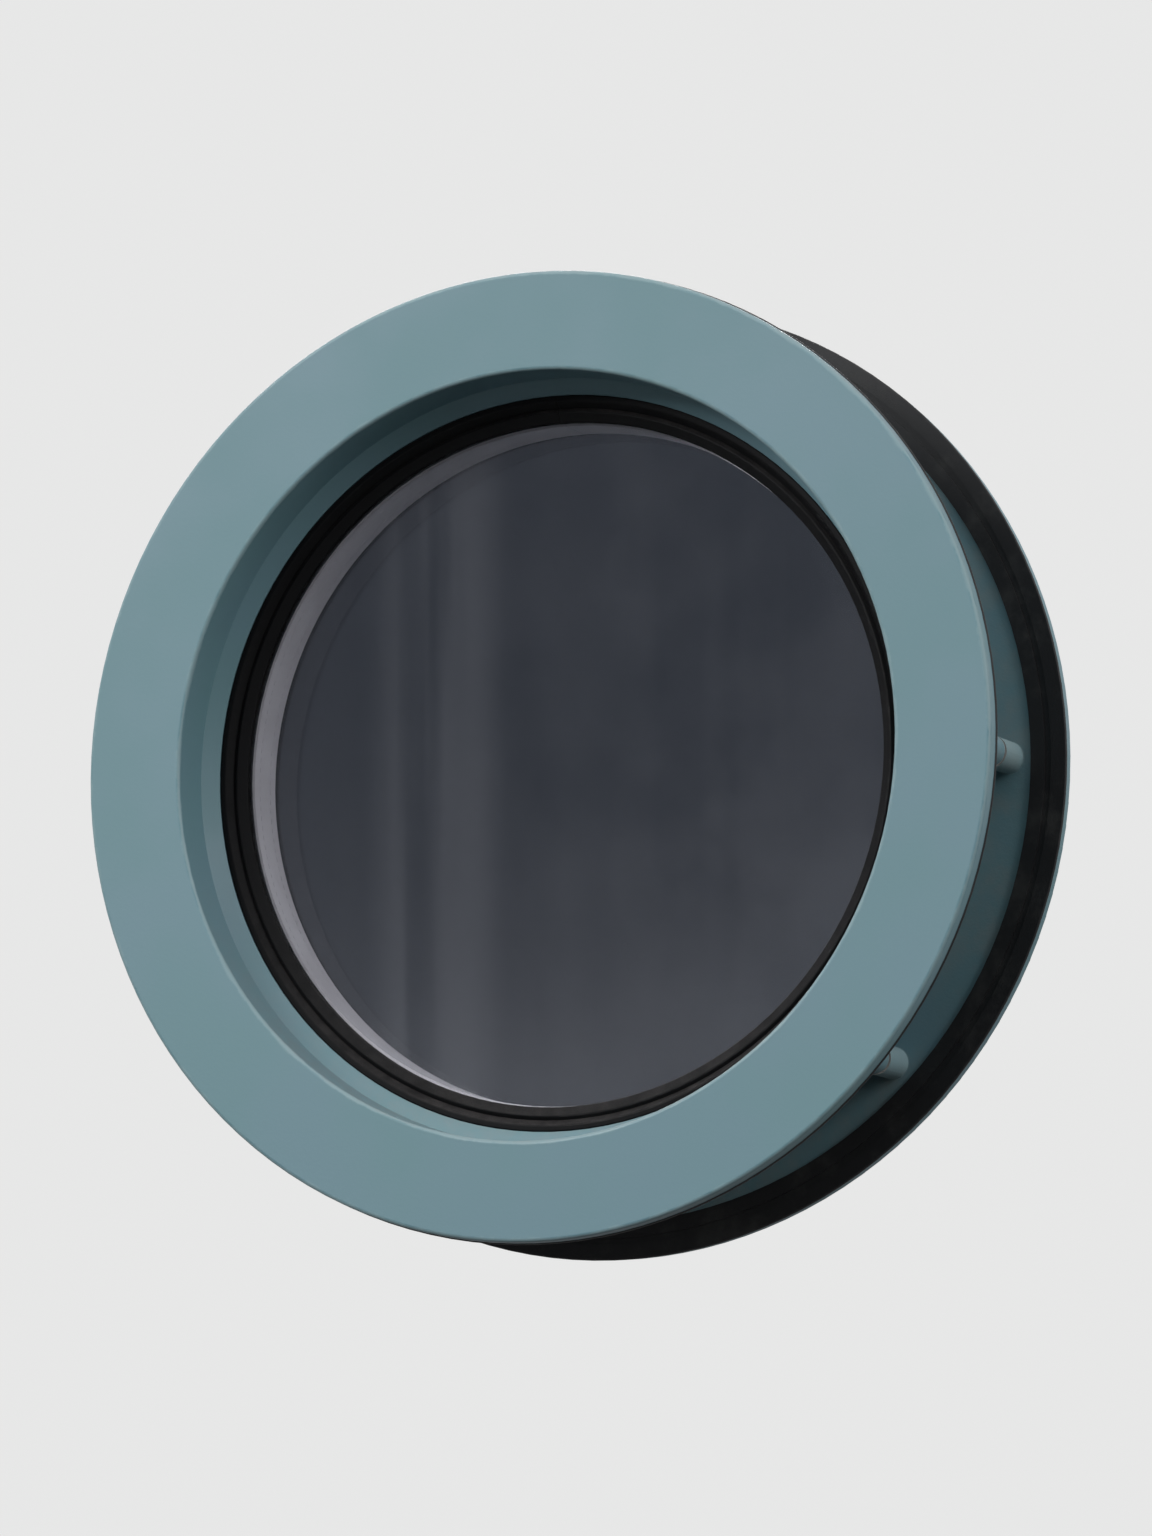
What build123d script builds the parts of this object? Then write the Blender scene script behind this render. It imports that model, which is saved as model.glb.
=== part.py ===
from build123d import *
import math
import os

# Porthole window for a door leaf, in millimetres.
# Y runs through the window from outdoors (-Y) to indoors (+Y), and +Z is up.
# The origin is the centre of the plane where the outer seal meets the leaf.
# Radii are taken from the window's axis. Angles run anticlockwise from +X,
# as seen from outdoors. Every ring is a section in (radius, depth), turned about Y.

# Door leaf that the two frames clamp
leaf_thickness = 60.0
leaf_edge_clearance = 1.5

# Frames
opening_radius = 119.0
flange_thickness = 4.5
flange_overlap = 12.5
edge_round = 1.2
root_round = 2.0
reveal_wall = 4.0
shoulder_thickness = 5.0
lip_reach = 4.5
lip_land = 0.8
cup_wall = 3.0
cup_lead_in = 0.8
inner_reveal_depth = 18.4
inner_tube_wall = 5.5

# Bosses that take the clamping screws
screw_count = 8
boss_radius = 5.0
boss_merge = 2.5
boss_reach = 1.0
clamp_gap = 1.5
rib_thickness = 4.0
weld_overlap = 0.5

# Glazing unit
pane_thickness = 4.0
pane_gap = 16.0
pane_cover = 4.0
pane_edge_gap = 2.5
pane_arris = 0.5
edge_seal_width = 9.0
spacer_width = 8.0
spacer_wall = 0.6
spacer_bevel = 2.2
spacer_joint_gap = 0.3
spacer_key_length = 60.0
spacer_key_fit = 0.15
desiccant_gap = 4.0
butyl_thickness = 0.4
butyl_inset = 0.8

# Glazing gaskets, one against each pane
gasket_thickness = 4.0
gasket_apron = 8.0
gasket_overhang = 1.0
gasket_edge_height = 1.2
gasket_crest_width = 3.0
gasket_crest_height = 3.0
gasket_groove_width = 1.2
gasket_groove_height = 2.2
gasket_bead_width = 1.8
gasket_bead_height = 0.8
gasket_wall_fit = 0.15
foot_inset = 1.8
foot_groove_width = 2.6
foot_groove_depth = 2.5
foot_fit = 0.15
foot_neck_width = 1.4
foot_barb_height = 1.5

# Leaf seals, one behind each flange
seal_stand_off = 1.2
seal_inset = 1.2
seal_bulge = 0.4
seal_tongue_width = 4.0
seal_tongue_depth = 1.5
seal_tongue_fit = 0.15
seal_channel_width = 2.0
seal_channel_depth = 0.5

# Blocks that centre the glazing unit in its cup
block_length = 40.0
block_fit = 0.15
block_channel_width = 8.0
block_channel_depth = 1.0
setting_block_angles = {"left": 240.0, "right": 300.0}
location_block_angles = {
    "right": 0.0,
    "upper_right": 60.0,
    "upper_left": 120.0,
    "left": 180.0,
}

# Countersunk clamping screws, 5 mm thread, and their inserts
screw_radius = 2.5
screw_length = 35.0
screw_head_radius = 5.0
screw_head_land = 0.3
screw_hole_clearance = 0.25
countersink_clearance = 0.1
screw_tip_chamfer = 0.6
socket_flats = 3.0
socket_depth = 2.0
insert_radius = 3.5
insert_length = 12.0
insert_fit = 0.05
insert_chamfer = 0.4
thread_clearance = 0.05
pilot_run_out = 2.5
drill_point_angle = 118.0

# Radii that follow
pane_radius = opening_radius + pane_cover
cup_inner = pane_radius + pane_edge_gap
cup_outer = cup_inner + cup_wall
screw_circle = cup_outer + boss_radius - boss_merge
leaf_cutout_radius = screw_circle + boss_radius + leaf_edge_clearance
flange_radius = leaf_cutout_radius + flange_overlap
lip_radius = opening_radius - lip_reach
reveal_outer = opening_radius + reveal_wall
inner_tube_outer = opening_radius + inner_tube_wall
spacer_outer = pane_radius - edge_seal_width
spacer_inner = spacer_outer - spacer_width
spacer_waist = spacer_outer - spacer_bevel
gasket_inner = lip_radius - gasket_apron
gasket_outer = pane_radius + gasket_overhang
bead_outer = lip_radius - gasket_wall_fit
bead_inner = bead_outer - gasket_bead_width
crest_radius = gasket_inner + gasket_crest_width
foot_inner = opening_radius + foot_inset
foot_outer = foot_inner + foot_groove_width
foot_middle = (foot_inner + foot_outer) / 2
seal_inner = leaf_cutout_radius + seal_inset
seal_middle = (seal_inner + flange_radius) / 2
tongue_inner = seal_middle - seal_tongue_width / 2
tongue_outer = seal_middle + seal_tongue_width / 2

# Depths that follow, from outdoors to indoors
outer_back = -seal_stand_off
outer_front = outer_back - flange_thickness
inner_back = leaf_thickness + seal_stand_off
inner_front = inner_back + flange_thickness
inner_nose = inner_front - inner_reveal_depth
inner_pane_back = inner_nose - gasket_thickness
inner_pane_front = inner_pane_back - pane_thickness
outer_pane_back = inner_pane_front - pane_gap
outer_pane_front = outer_pane_back - pane_thickness
shoulder_back = outer_pane_front - gasket_thickness
shoulder_front = shoulder_back - shoulder_thickness
inner_boss_end = inner_nose - boss_reach
cup_end = inner_boss_end - clamp_gap
insert_bottom = cup_end - insert_length
screw_tip = inner_front - screw_length
pilot_bottom = screw_tip - pilot_run_out
spacer_front = outer_pane_back + butyl_thickness
spacer_back = inner_pane_front - butyl_thickness

screw_angles = [360.0 * place / screw_count for place in range(screw_count)]


def outline(*points):
    """A closed section through the given (radius, depth) points."""
    return make_face(Polyline(*points, close=True))


def eased(section, corners, radius):
    """The section with the named corners rounded."""
    picked = [section.vertices().sort_by_distance(Vector(*corner))[0] for corner in corners]
    return fillet(picked, radius)


def bevelled(section, corners, length):
    """The section with the named corners chamfered."""
    picked = [section.vertices().sort_by_distance(Vector(*corner))[0] for corner in corners]
    return chamfer(picked, length)


def turned(section, sweep=360.0):
    """The section turned about the window's axis."""
    return revolve(section, axis=Axis.Y, revolution_arc=sweep)


def turn_to(angle):
    """The turn that brings a piece from +X to the given angle."""
    return Rot(0, -angle, 0)


def at_screws(piece):
    """Copies of a piece that stands on the window's axis, one at each screw."""
    on_circle = Pos(screw_circle, 0, 0) * piece
    return [turn_to(angle) * on_circle for angle in screw_angles]


def ribs(inside, start, end):
    """Radial webs that tie the bosses to the wall inside them."""
    section = outline((inside, start), (screw_circle, start), (screw_circle, end), (inside, end))
    web = extrude(section, amount=rib_thickness / 2, both=True)
    return [turn_to(angle) * web for angle in screw_angles]


def insert_pocket():
    """The stepped blind hole in an outer boss, with the drill's point at its end."""
    pilot = screw_radius + screw_hole_clearance
    point = pilot / math.tan(math.radians(drill_point_angle / 2))
    wall = insert_radius + insert_fit
    return turned(
        outline(
            (0, cup_end + weld_overlap),
            (wall, cup_end + weld_overlap),
            (wall, insert_bottom),
            (pilot, insert_bottom),
            (pilot, pilot_bottom),
            (0, pilot_bottom - point),
        )
    )


def outer_frame():
    """Painted casting: flange, straight reveal, bevelled glazing lip, cup and screw bosses."""
    tongue_floor = outer_back - seal_tongue_depth
    foot_floor = shoulder_back - foot_groove_depth
    section = outline(
        (opening_radius, outer_front),
        (flange_radius, outer_front),
        (flange_radius, outer_back),
        (tongue_outer, outer_back),
        (tongue_outer, tongue_floor),
        (tongue_inner, tongue_floor),
        (tongue_inner, outer_back),
        (reveal_outer, outer_back),
        (reveal_outer, shoulder_front),
        (cup_outer, shoulder_front),
        (cup_outer, cup_end),
        (cup_inner, cup_end),
        (cup_inner, shoulder_back),
        (foot_outer, shoulder_back),
        (foot_outer, foot_floor),
        (foot_inner, foot_floor),
        (foot_inner, shoulder_back),
        (lip_radius, shoulder_back),
        (lip_radius, shoulder_back - lip_land),
        (opening_radius, shoulder_front),
    )
    section = eased(section, [(opening_radius, outer_front), (flange_radius, outer_front)], edge_round)
    section = eased(section, [(reveal_outer, outer_back), (reveal_outer, shoulder_front)], root_round)
    section = eased(section, [(cup_outer, shoulder_front)], edge_round)
    section = bevelled(section, [(cup_inner, cup_end)], cup_lead_in)
    boss = turned(
        outline(
            (0, outer_back - weld_overlap),
            (boss_radius, outer_back - weld_overlap),
            (boss_radius, cup_end),
            (0, cup_end),
        )
    )
    webs = ribs(reveal_outer - weld_overlap, outer_back - weld_overlap, shoulder_front + weld_overlap)
    body = turned(section) + at_screws(boss) + webs
    return body - at_screws(insert_pocket())


def inner_frame():
    """Painted casting that clamps the unit from indoors: flange, lipped tube and screw bosses."""
    tongue_floor = inner_back + seal_tongue_depth
    foot_floor = inner_nose + foot_groove_depth
    section = outline(
        (opening_radius, inner_front),
        (flange_radius, inner_front),
        (flange_radius, inner_back),
        (tongue_outer, inner_back),
        (tongue_outer, tongue_floor),
        (tongue_inner, tongue_floor),
        (tongue_inner, inner_back),
        (inner_tube_outer, inner_back),
        (inner_tube_outer, inner_nose),
        (foot_outer, inner_nose),
        (foot_outer, foot_floor),
        (foot_inner, foot_floor),
        (foot_inner, inner_nose),
        (lip_radius, inner_nose),
        (lip_radius, inner_nose + lip_land),
        (opening_radius, inner_nose + shoulder_thickness),
    )
    section = eased(section, [(opening_radius, inner_front), (flange_radius, inner_front)], edge_round)
    section = eased(section, [(inner_tube_outer, inner_back)], root_round / 2)
    boss = turned(
        outline(
            (0, inner_boss_end),
            (boss_radius, inner_boss_end),
            (boss_radius, inner_back + weld_overlap),
            (0, inner_back + weld_overlap),
        )
    )
    webs = ribs(inner_tube_outer - weld_overlap, inner_nose, inner_back + weld_overlap)
    hole = screw_radius + screw_hole_clearance
    sink = screw_head_radius + countersink_clearance
    cone_start = inner_front - screw_head_land
    drilling = turned(
        outline(
            (0, inner_boss_end - weld_overlap),
            (hole, inner_boss_end - weld_overlap),
            (hole, cone_start - (sink - hole)),
            (sink, cone_start),
            (sink, inner_front + weld_overlap),
            (0, inner_front + weld_overlap),
        )
    )
    body = turned(section) + at_screws(boss) + webs
    return body - at_screws(drilling)


def leaf_seal(flange_back, leaf_face):
    """Rubber ring between a flange and the leaf, keyed to the flange by a tongue."""
    way = 1 if flange_back > leaf_face else -1
    tongue_end = flange_back + way * (seal_tongue_depth - seal_tongue_fit)
    channel_floor = leaf_face + way * seal_channel_depth
    channel_inner = seal_middle - seal_channel_width / 2
    channel_outer = seal_middle + seal_channel_width / 2
    flat_sides = Polyline(
        (flange_radius, leaf_face),
        (channel_outer, leaf_face),
        (channel_outer, channel_floor),
        (channel_inner, channel_floor),
        (channel_inner, leaf_face),
        (seal_inner, leaf_face),
        (seal_inner, flange_back),
        (tongue_inner + seal_tongue_fit, flange_back),
        (tongue_inner + seal_tongue_fit, tongue_end),
        (tongue_outer - seal_tongue_fit, tongue_end),
        (tongue_outer - seal_tongue_fit, flange_back),
        (flange_radius, flange_back),
    )
    bulge = ThreePointArc(
        (flange_radius, flange_back),
        (flange_radius + seal_bulge, (flange_back + leaf_face) / 2),
        (flange_radius, leaf_face),
    )
    return turned(make_face(flat_sides + bulge))


def glazing_gasket(seat, way):
    """Rubber ring between a frame and a pane. way is +1 where the pane lies towards indoors.

    Its apron covers the unit's edge seal, and its barbed foot holds it in the frame.
    """
    pane = seat + way * gasket_thickness
    foot_end = seat - way * (foot_groove_depth - foot_fit)
    barb = foot_end + way * foot_barb_height
    neck_inner = foot_middle - foot_neck_width / 2
    neck_outer = foot_middle + foot_neck_width / 2
    section = outline(
        (gasket_inner, pane),
        (gasket_inner, pane - way * gasket_edge_height),
        (crest_radius, pane - way * gasket_crest_height),
        (crest_radius + gasket_groove_width, pane - way * gasket_groove_height),
        (bead_inner, seat - way * gasket_bead_height),
        (bead_outer, seat - way * gasket_bead_height),
        (bead_outer, seat),
        (neck_inner, seat),
        (neck_inner, barb),
        (foot_inner + foot_fit, barb),
        (neck_inner, foot_end),
        (neck_outer, foot_end),
        (foot_outer - foot_fit, barb),
        (neck_outer, barb),
        (neck_outer, seat),
        (gasket_outer, seat),
        (gasket_outer, pane),
    )
    section = eased(section, [(gasket_inner, pane - way * gasket_edge_height)], gasket_edge_height / 2)
    section = eased(section, [(crest_radius, pane - way * gasket_crest_height)], gasket_edge_height / 2)
    section = eased(section, [(bead_inner, seat - way * gasket_bead_height)], gasket_bead_height)
    section = eased(section, [(bead_outer, seat - way * gasket_bead_height)], gasket_bead_height / 2)
    return turned(section)


def pane(front):
    """Glass disc with ground edges."""
    back = front + pane_thickness
    corners = [(pane_radius, front), (pane_radius, back)]
    section = outline((0, front), corners[0], corners[1], (0, back))
    return turned(bevelled(section, corners, pane_arris))


def spacer_section(inset):
    """The spacer bar's section, its outer corners bevelled, drawn in by an inset all round."""
    low = spacer_inner + inset
    high = spacer_outer - inset
    front = spacer_front + inset
    back = spacer_back - inset
    corners = [(high, front), (high, back)]
    section = outline((low, front), corners[0], corners[1], (low, back))
    return bevelled(section, corners, spacer_bevel)


def arc_angle(length):
    """The angle that a length along the spacer bar takes up, in degrees."""
    return math.degrees(length / ((spacer_inner + spacer_outer) / 2))


def spacer_arc(section, start_gap):
    """The section turned round the window from one side of the bar's joint to the other.

    The joint is at the top, and start_gap is the length left clear on each side of it.
    """
    clear = arc_angle(start_gap)
    arc = turned(section, 360.0 - 2 * clear)
    return turn_to(90.0 - clear) * arc


def spacer_bar():
    """Hollow aluminium bar, bent to a ring that is open at its joint."""
    bar = spacer_arc(spacer_section(0), spacer_joint_gap / 2)
    bore = spacer_arc(spacer_section(spacer_wall), spacer_joint_gap / 2)
    return bar - bore


def spacer_key():
    """Curved key inside the bar that joins its two ends."""
    sweep = arc_angle(spacer_key_length)
    key = turned(spacer_section(spacer_wall + spacer_key_fit), sweep)
    return turn_to(90.0 + sweep / 2) * key


def desiccant_fill():
    """Drying beads that fill the bar as far as its key."""
    section = spacer_section(spacer_wall + spacer_key_fit)
    return spacer_arc(section, spacer_key_length / 2 + desiccant_gap)


def butyl_seal(front):
    """Bead between one side of the spacer bar and a pane."""
    start = spacer_inner + butyl_inset
    back = front + butyl_thickness
    return turned(outline((start, front), (spacer_waist, front), (spacer_waist, back), (start, back)))


def edge_seal():
    """Sealant that fills the unit's edge outside the spacer bar."""
    return turned(
        outline(
            (spacer_waist, outer_pane_back),
            (pane_radius, outer_pane_back),
            (pane_radius, inner_pane_front),
            (spacer_waist, inner_pane_front),
            (spacer_waist, spacer_back),
            (spacer_outer, spacer_back - spacer_bevel),
            (spacer_outer, spacer_front + spacer_bevel),
            (spacer_waist, spacer_front),
        )
    )


def centring_block(angle):
    """Plastic block between the unit's edge and the cup, channelled so that water can drain."""
    inside = pane_radius + block_fit
    outside = cup_inner - block_fit
    floor = outside - block_channel_depth
    middle = (outer_pane_front + inner_pane_back) / 2
    channel_front = middle - block_channel_width / 2
    channel_back = middle + block_channel_width / 2
    section = outline(
        (inside, outer_pane_front),
        (outside, outer_pane_front),
        (outside, channel_front),
        (floor, channel_front),
        (floor, channel_back),
        (outside, channel_back),
        (outside, inner_pane_back),
        (inside, inner_pane_back),
    )
    sweep = math.degrees(block_length / inside)
    return turn_to(angle + sweep / 2) * turned(section, sweep)


def frame_screws():
    """Countersunk screws with hexagon sockets, driven from indoors."""
    cone_start = inner_front - screw_head_land
    section = outline(
        (0, screw_tip),
        (screw_radius - screw_tip_chamfer, screw_tip),
        (screw_radius, screw_tip + screw_tip_chamfer),
        (screw_radius, cone_start - (screw_head_radius - screw_radius)),
        (screw_head_radius, cone_start),
        (screw_head_radius, inner_front),
        (0, inner_front),
    )
    hexagon = Plane.XZ.offset(-inner_front) * RegularPolygon(socket_flats / 2, 6, major_radius=False)
    screw = turned(section) - extrude(hexagon, amount=socket_depth)
    return Compound(children=at_screws(screw))


def threaded_inserts():
    """Bushes screwed into the outer bosses, which take the screws."""
    bore = screw_radius + thread_clearance
    corners = [(insert_radius, insert_bottom), (insert_radius, cup_end)]
    section = outline((bore, insert_bottom), corners[0], corners[1], (bore, cup_end))
    return Compound(children=at_screws(turned(bevelled(section, corners, insert_chamfer))))


def build():
    """Every node of the window, by name."""
    nodes = {
        "outer_frame": outer_frame(),
        "inner_frame": inner_frame(),
        "outer_leaf_seal": leaf_seal(outer_back, 0.0),
        "inner_leaf_seal": leaf_seal(inner_back, leaf_thickness),
        "outer_glazing_gasket": glazing_gasket(shoulder_back, 1),
        "inner_glazing_gasket": glazing_gasket(inner_nose, -1),
        "outer_pane": pane(outer_pane_front),
        "inner_pane": pane(inner_pane_front),
        "spacer_bar": spacer_bar(),
        "spacer_key": spacer_key(),
        "desiccant_fill": desiccant_fill(),
        "outer_butyl_seal": butyl_seal(outer_pane_back),
        "inner_butyl_seal": butyl_seal(spacer_back),
        "edge_seal": edge_seal(),
        "frame_screws": frame_screws(),
        "threaded_inserts": threaded_inserts(),
    }
    for side, angle in setting_block_angles.items():
        nodes[f"setting_block_{side}"] = centring_block(angle)
    for side, angle in location_block_angles.items():
        nodes[f"location_block_{side}"] = centring_block(angle)
    return nodes


os.makedirs("parts", exist_ok=True)
for name, node in build().items():
    export_step(node, f"parts/{name}.step")
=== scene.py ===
import math

import bmesh
import bpy
from mathutils import Matrix, Vector


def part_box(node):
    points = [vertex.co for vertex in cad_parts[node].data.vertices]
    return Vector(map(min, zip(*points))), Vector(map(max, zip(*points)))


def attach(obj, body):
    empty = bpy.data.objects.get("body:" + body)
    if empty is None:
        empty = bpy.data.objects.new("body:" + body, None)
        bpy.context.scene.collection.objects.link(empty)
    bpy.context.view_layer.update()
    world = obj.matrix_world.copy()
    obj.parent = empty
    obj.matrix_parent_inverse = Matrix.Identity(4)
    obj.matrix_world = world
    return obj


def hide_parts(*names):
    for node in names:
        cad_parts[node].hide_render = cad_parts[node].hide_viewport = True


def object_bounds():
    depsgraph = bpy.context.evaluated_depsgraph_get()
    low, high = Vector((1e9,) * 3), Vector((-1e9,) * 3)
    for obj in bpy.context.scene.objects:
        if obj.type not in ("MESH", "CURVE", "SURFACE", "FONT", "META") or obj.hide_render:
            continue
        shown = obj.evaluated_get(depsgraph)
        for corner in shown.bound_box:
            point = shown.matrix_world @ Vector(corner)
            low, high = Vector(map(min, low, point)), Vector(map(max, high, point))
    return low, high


# Porthole window for a door leaf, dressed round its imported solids, in metres.
# Y runs through the window from outdoors (-Y) to indoors (+Y), and +Z is up.
# The window's axis is the Y axis. Radii are taken from it, and depths along it.
# Angles run anticlockwise from +X, as seen from outdoors.

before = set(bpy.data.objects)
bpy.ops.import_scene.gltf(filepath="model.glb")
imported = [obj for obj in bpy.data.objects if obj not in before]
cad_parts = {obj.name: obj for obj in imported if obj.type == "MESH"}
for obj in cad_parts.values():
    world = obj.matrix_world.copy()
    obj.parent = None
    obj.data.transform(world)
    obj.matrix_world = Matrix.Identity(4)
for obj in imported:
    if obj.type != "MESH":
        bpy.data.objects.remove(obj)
solid_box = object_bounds()

MM = 0.001
FULL_TURN = 2 * math.pi
QUARTER_TURN = math.pi / 2


def reach(node):
    """The largest radius of a ring."""
    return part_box(node)[1].x


def start_of(node):
    """The depth of a node's outdoor end."""
    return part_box(node)[0].y


def end_of(node):
    """The depth of a node's indoor end."""
    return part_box(node)[1].y


# Sizes that the solids' boxes give
flange_radius = reach("outer_frame")
outer_face = start_of("outer_frame")
outer_frame_end = end_of("outer_frame")
inner_face = end_of("inner_frame")
inner_frame_start = start_of("inner_frame")
pane_radius = reach("outer_pane")
pane_front = start_of("outer_pane")
spacer_radius = reach("spacer_bar")
spacer_start = start_of("spacer_bar")
spacer_end = end_of("spacer_bar")
screw_tip = start_of("frame_screws")

# Sizes that no box gives
PANE_COVER = 4.0 * MM
LIP_REACH = 4.5 * MM
GASKET_APRON = 8.0 * MM
SPACER_WIDTH = 8.0 * MM
SPACER_WALL = 0.6 * MM
EDGE_ROUND = 1.2 * MM
FLANGE_THICKNESS = 4.5 * MM
VENT_COUNT = 216
VENT_LENGTH = 1.6 * MM
VENT_WIDTH = 0.3 * MM
VENT_ROW_DISTANCE = 7.5 * MM
FILM_THICKNESS = 0.02 * MM
FILM_GAP = 0.03 * MM
FILM_SEGMENTS = 180

# The screws and the bushes they bite in
SCREW_COUNT = 8
SCREW_HEAD_RADIUS = 5.0 * MM
SCREW_HEAD_LAND = 0.3 * MM
SCREW_RADIUS = 2.5 * MM
SCREW_TIP_CHAMFER = 0.6 * MM
SCREW_THREAD_LENGTH = 22.0 * MM
SOCKET_FLATS = 3.0 * MM
SOCKET_DEPTH = 2.0 * MM
SOCKET_LEAD_IN = 0.15 * MM
SOCKET_MOUTH_SHARE = 1.22
DRILL_CONE_DEPTH = 0.4 * MM
HEAD_EDGE_WIDTH = 0.15 * MM
HEAD_EDGE_DEPTH = 0.12 * MM
NECK_ROUND = 0.15 * MM
NECK_LENGTH = 0.25 * MM
INSERT_RADIUS = 3.5 * MM
INSERT_CHAMFER = 0.4 * MM
INSERT_PITCH = 1.0 * MM
INSERT_THREAD_DEPTH = 0.35 * MM
THREAD_PITCH = 0.8 * MM
THREAD_DEPTH = 0.49 * MM
THREAD_CLEARANCE = 0.05 * MM
SCREW_TURN_SEED = 5

# How finely they are made. A row's place is its share of a pitch.
TURNED_SEGMENTS = 48
ROWS_BEFORE_THREAD = 9
ROW_PLACES = (0.0, 0.125, 0.4375, 0.6875)
ROWS_IN_A_TURN = len(ROW_PLACES)
SHARP_EDGE = math.radians(25.0)
SAME_POINT = 0.002 * MM
SAME_CORNER = 0.0005 * MM

# Worn paint with painted highlights along the rims, bare metal and the painted shade in the sockets
PAINT_CHIP = 1.2 * MM
DRIVER_WEAR = 0.5 * MM
WORN_AND_HIGHLIT_SHARE = 0.55
BARE_SKIN = 0.1 * MM
BARE_FADE = 0.05 * MM
CAST_SKIN_START = 3.0 * MM
CAST_SKIN_FADE = 0.6 * MM
CAST_RELIEF = 6.0
SOCKET_SHADE_RADIUS = 2.0 * MM
SOCKET_SHADE_FADE = 0.1 * MM

# Dust on the glass: the wiped streaks in a paler band that also stands as a painted reflection, the haze
# along the bottom and the mist at the right
STREAK_MIDDLE = -42.0 * MM
STREAK_REACH = 26.0 * MM
STREAK_CORE = 10.0 * MM
STREAK_DUST_AND_REFLECTION = 0.042
WIPED_DUST = 0.006
HAZE_TOP = 30.0 * MM
HAZE_BOTTOM = -110.0 * MM
HAZE_LEFT = -90.0 * MM
HAZE_CORE = 50.0 * MM
HAZE_DUST = 0.07
MIST_LEFT = -100.0 * MM
MIST_RIGHT = 80.0 * MM
MIST_DUST = 0.03

opening_radius = pane_radius - PANE_COVER
lip_radius = opening_radius - LIP_REACH
sight_radius = lip_radius - GASKET_APRON
spacer_inner = spacer_radius - SPACER_WIDTH
screw_circle = reach("frame_screws") - SCREW_HEAD_RADIUS


# Node trees

def put(tree, kind, inputs=None, **settings):
    """A new node with its settings made, and its inputs set to values or linked to sockets."""
    made = tree.nodes.new(kind)
    for name, value in settings.items():
        setattr(made, name, value)
    for name, value in (inputs or {}).items():
        if isinstance(value, bpy.types.NodeSocket):
            tree.links.new(value, made.inputs[name])
        else:
            made.inputs[name].default_value = value
    return made


def reckon(tree, operation, *values):
    """The result of a Math node."""
    return put(tree, "ShaderNodeMath", dict(enumerate(values)), operation=operation).outputs[0]


def eased(tree, value, low, high, start=0.0, end=1.0):
    """A value that runs smoothly from start to end as the given one runs from low to high."""
    inputs = {"Value": value, "From Min": low, "From Max": high, "To Min": start, "To Max": end}
    return put(tree, "ShaderNodeMapRange", inputs, interpolation_type="SMOOTHSTEP").outputs["Result"]


def blend(tree, share, first, second):
    """A colour between two."""
    made = put(tree, "ShaderNodeMix", {0: share, 6: first, 7: second}, data_type="RGBA")
    return made.outputs[2]


def cloud(tree, place, size, detail=2.0, roughness=0.5):
    """Noise from 0 to 1 whose features have about the given size."""
    inputs = {
        "Vector": place,
        "Scale": reckon(tree, "DIVIDE", 1.0, size),
        "Detail": detail,
        "Roughness": roughness,
    }
    return put(tree, "ShaderNodeTexNoise", inputs).outputs["Fac"]


def split(tree, vector):
    """The X, Y and Z of a vector."""
    return put(tree, "ShaderNodeSeparateXYZ", {"Vector": vector}).outputs


def joined(tree, x, y, z):
    """A vector of three values."""
    return put(tree, "ShaderNodeCombineXYZ", {"X": x, "Y": y, "Z": z}).outputs[0]


def new_effect(name, inputs, outputs):
    """An empty shader group with named sockets, its input sockets and its output sockets."""
    tree = bpy.data.node_groups.new(name, "ShaderNodeTree")
    for socket, value in inputs.items():
        kind = "NodeSocketVector" if value is None else "NodeSocketFloat"
        made = tree.interface.new_socket(socket, in_out="INPUT", socket_type=kind)
        if value is not None:
            made.default_value = value
    for socket in outputs:
        tree.interface.new_socket(socket, in_out="OUTPUT", socket_type="NodeSocketFloat")
    return tree, tree.nodes.new("NodeGroupInput").outputs, tree.nodes.new("NodeGroupOutput").inputs


def use(tree, effect, **inputs):
    """The outputs of an effect placed in a material. Underscores in the names stand for spaces."""
    named = {name.replace("_", " "): value for name, value in inputs.items()}
    return put(tree, "ShaderNodeGroup", named, node_tree=effect).outputs


# Effects that several materials share

def make_ring_coordinates():
    """Radius, angle and depth of a point of the window."""
    outputs = ["Radius", "Angle", "Depth"]
    tree, given, result = new_effect("ring_coordinates", {"Position": None}, outputs)
    x, y, z = split(tree, given["Position"])
    flat = joined(tree, x, 0.0, z)
    radius = put(tree, "ShaderNodeVectorMath", {0: flat}, operation="LENGTH").outputs["Value"]
    tree.links.new(radius, result["Radius"])
    tree.links.new(reckon(tree, "ARCTAN2", z, x), result["Angle"])
    tree.links.new(y, result["Depth"])
    return tree


def make_screw_coordinates(ring_coordinates):
    """The distance of a point from the axis of its nearest screw."""
    inputs = {"Position": None, "Circle": screw_circle, "Count": SCREW_COUNT}
    tree, given, result = new_effect("screw_coordinates", inputs, ["Radius"])
    ring = use(tree, ring_coordinates, Position=given["Position"])
    step = reckon(tree, "DIVIDE", FULL_TURN, given["Count"])
    nearest = reckon(tree, "ROUND", reckon(tree, "DIVIDE", ring["Angle"], step))
    off = reckon(tree, "SUBTRACT", ring["Angle"], reckon(tree, "MULTIPLY", nearest, step))
    outwards = reckon(tree, "MULTIPLY", ring["Radius"], reckon(tree, "COSINE", off))
    outwards = reckon(tree, "SUBTRACT", outwards, given["Circle"])
    sideways = reckon(tree, "MULTIPLY", ring["Radius"], reckon(tree, "SINE", off))
    flat = joined(tree, outwards, sideways, 0.0)
    radius = put(tree, "ShaderNodeVectorMath", {0: flat}, operation="LENGTH").outputs["Value"]
    tree.links.new(radius, result["Radius"])
    return tree


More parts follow.
